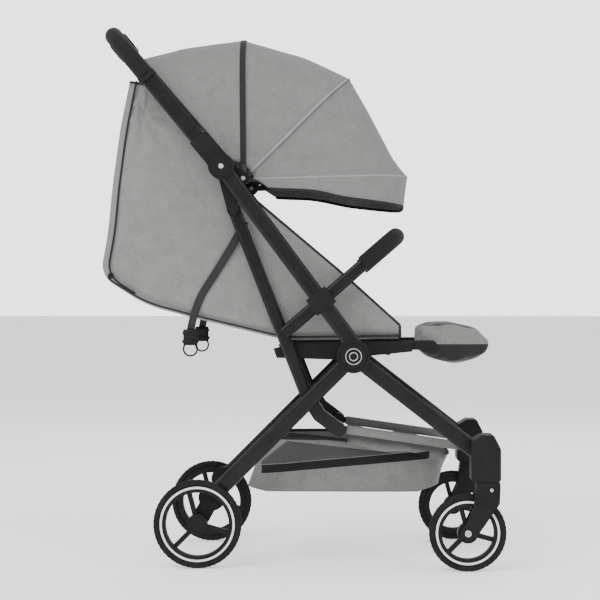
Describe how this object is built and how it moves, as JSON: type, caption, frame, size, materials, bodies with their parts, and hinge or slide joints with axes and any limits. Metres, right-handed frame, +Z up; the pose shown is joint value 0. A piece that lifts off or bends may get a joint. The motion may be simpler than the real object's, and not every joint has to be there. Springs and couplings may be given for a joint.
{
  "type": "folding stroller",
  "caption": "Compact folding stroller with a reclining cloth seat, three-part canopy, bumper bar, under-seat basket and swivel front wheels.",
  "frame": {"origin": "on the floor, under the middle of the overall box, on the centre plane", "axes": "+X forward, the way the child faces; +Y to the child's left; +Z up"},
  "size_m": [0.763, 0.5, 1.0203],
  "materials": {
    "tyre": "matt rubber",
    "black_plastic": "satin moulded",
    "white_trim": "gloss",
    "black_tube": "satin powder coat",
    "grip_foam": "matt leatherette",
    "steel": "brushed",
    "button_plastic": "satin",
    "bow_plastic": "matt",
    "webbing": "woven",
    "basket_cloth": "woven",
    "grey_cloth": "woven melange"
  },
  "bodies": {
    "frame": {"main_tube_left": "black_tube", "main_tube_right": "black_tube", "upper_hubs": "black_plastic", "lower_hubs": "black_plastic", "hub_caps": "black_plastic", "canopy_brackets": "black_plastic", "pivot_pins": "steel", "bumper_brackets": "black_plastic", "seat_rails": "black_plastic", "seat_cross_tubes": "black_tube", "seat_shell": "grey_cloth", "seat_cushion": "grey_cloth", "recline_straps": "webbing", "strap_buckles": "button_plastic", "strap_rings": "steel", "rear_bow": "bow_plastic", "canopy_rear": "grey_cloth"},
    "handle": {"handle_tube": "black_tube", "handle_grip": "grip_foam", "grip_collars": "black_plastic", "handle_hubs": "black_plastic", "fold_button_block": "black_plastic"},
    "fold_button": {"fold_button": "button_plastic"},
    "struts": {"struts": "black_tube"},
    "front_legs": {"front_leg_left": "black_tube", "front_leg_right": "black_tube", "front_cross_tube": "black_tube", "front_housing_left": "black_plastic", "front_housing_right": "black_plastic"},
    "rear_legs": {"rear_leg_left": "black_tube", "rear_leg_right": "black_tube", "rear_housing_left": "black_plastic", "rear_housing_right": "black_plastic", "rear_cross_tube": "black_tube"},
    "brake_pedal": {"brake_pedal": "button_plastic"},
    "basket_frame": {"basket_rails": "black_tube", "basket": "basket_cloth"},
    "bumper": {"bumper_bar": "black_tube", "bumper_grip": "grip_foam"},
    "backrest": {"backrest": "grey_cloth"},
    "canopy_middle": {"middle_bow": "bow_plastic", "canopy_middle": "grey_cloth"},
    "canopy_front": {"front_bow": "bow_plastic", "canopy_front": "grey_cloth"},
    "legrest": {"legrest_arms": "black_plastic", "legrest_pad": "grey_cloth"},
    "fork_left": {"fork_left": "black_plastic"},
    "front_wheel_left": {"tyre_front_left": "tyre", "rim_front_left": "black_plastic", "trim_ring_front_left": "white_trim"},
    "rear_wheel_left": {"tyre_rear_left": "tyre", "rim_rear_left": "black_plastic", "trim_ring_rear_left": "white_trim"},
    "fork_right": {"fork_right": "black_plastic"},
    "front_wheel_right": {"tyre_front_right": "tyre", "rim_front_right": "black_plastic", "trim_ring_front_right": "white_trim"},
    "rear_wheel_right": {"tyre_rear_right": "tyre", "rim_rear_right": "black_plastic", "trim_ring_rear_right": "white_trim"}
  },
  "joints": [
    {"name": "handle_fold", "type": "hinge", "parent": "frame", "child": "handle", "pos_m": [-0.1448, 0, 0.7474], "axis": [0, 1, 0], "range_deg": [0, 165], "deforming": ["seat_shell", "seat_cushion", "recline_straps", "strap_buckles", "strap_rings", "rear_bow", "canopy_rear", "basket", "backrest", "middle_bow", "canopy_middle", "front_bow", "canopy_front", "legrest_pad"]},
    {"name": "front_leg_fold", "type": "hinge", "parent": "frame", "child": "front_legs", "pos_m": [0.1003, 0, 0.3953], "axis": [0, 1, 0], "range_deg": [0, 158.11]},
    {"name": "rear_leg_fold", "type": "hinge", "parent": "frame", "child": "rear_legs", "pos_m": [0.1003, 0, 0.3953], "axis": [0, 1, 0], "range_deg": [0, 76.01]},
    {"name": "strut_fold", "type": "hinge", "parent": "handle", "child": "struts", "pos_m": [-0.1245, 0, 0.6697], "axis": [0, 1, 0], "range_deg": [-173.51, 0]},
    {"name": "basket_fold", "type": "hinge", "parent": "front_legs", "child": "basket_frame", "pos_m": [0.3135, 0, 0.222], "axis": [0, 1, 0], "range_deg": [-9.01, 0]},
    {"name": "bumper_fold", "type": "hinge", "parent": "frame", "child": "bumper", "pos_m": [0.0402, 0, 0.4976], "axis": [0, 1, 0], "range_deg": [0, 56.01]},
    {"name": "backrest_recline", "type": "hinge", "parent": "frame", "child": "backrest", "pos_m": [-0.0385, 0, 0.446], "axis": [0, 1, 0], "range_deg": [0, 48]},
    {"name": "canopy_retract", "type": "hinge", "parent": "frame", "child": "canopy_front", "pos_m": [-0.1059, 0, 0.7274], "axis": [0, 1, 0], "range_deg": [-80, 0]},
    {"name": "canopy_middle_retract", "type": "hinge", "parent": "frame", "child": "canopy_middle", "pos_m": [-0.1059, 0, 0.7274], "axis": [0, 1, 0], "range_deg": [-42.01, 0]},
    {"name": "legrest_tilt", "type": "hinge", "parent": "frame", "child": "legrest", "pos_m": [0.1995, 0, 0.414], "axis": [0, -1, 0], "range_deg": [-75, 0]},
    {"name": "brake_press", "type": "hinge", "parent": "rear_legs", "child": "brake_pedal", "pos_m": [-0.1645, 0, 0.13], "axis": [0, 1, 0], "range_deg": [-16, 0]},
    {"name": "fold_button_press", "type": "slide", "parent": "handle", "child": "fold_button", "axis": [-0.6374, 0, 0.7705], "range_m": [0, 0.004], "stiffness_N_per_m": 400, "springref_m": -0.002},
    {"name": "swivel_left", "type": "hinge", "parent": "front_legs", "child": "fork_left", "pos_m": [0.3455, 0.231, 0.164], "axis": [0, 0, 1], "continuous": true},
    {"name": "front_wheel_spin_left", "type": "hinge", "parent": "fork_left", "child": "front_wheel_left", "pos_m": [0.3105, 0.231, 0.071], "axis": [0, 1, 0], "continuous": true},
    {"name": "rear_wheel_spin_left", "type": "hinge", "parent": "rear_legs", "child": "rear_wheel_left", "pos_m": [-0.1905, 0.1995, 0.082], "axis": [0, 1, 0], "continuous": true},
    {"name": "swivel_right", "type": "hinge", "parent": "front_legs", "child": "fork_right", "pos_m": [0.3455, -0.231, 0.164], "axis": [0, 0, 1], "continuous": true},
    {"name": "front_wheel_spin_right", "type": "hinge", "parent": "fork_right", "child": "front_wheel_right", "pos_m": [0.3105, -0.231, 0.071], "axis": [0, 1, 0], "continuous": true},
    {"name": "rear_wheel_spin_right", "type": "hinge", "parent": "rear_legs", "child": "rear_wheel_right", "pos_m": [-0.1905, -0.1995, 0.082], "axis": [0, 1, 0], "continuous": true}
  ],
  "couplings": [
    {"joint": "front_leg_fold", "follows": "handle_fold", "ratio": 0.95818},
    {"joint": "rear_leg_fold", "follows": "handle_fold", "ratio": 0.46061},
    {"joint": "strut_fold", "follows": "handle_fold", "ratio": -1.0515},
    {"joint": "basket_fold", "follows": "handle_fold", "ratio": -0.054545},
    {"joint": "bumper_fold", "follows": "handle_fold", "ratio": 0.33939},
    {"joint": "canopy_middle_retract", "follows": "canopy_retract", "ratio": 0.525}
  ]
}
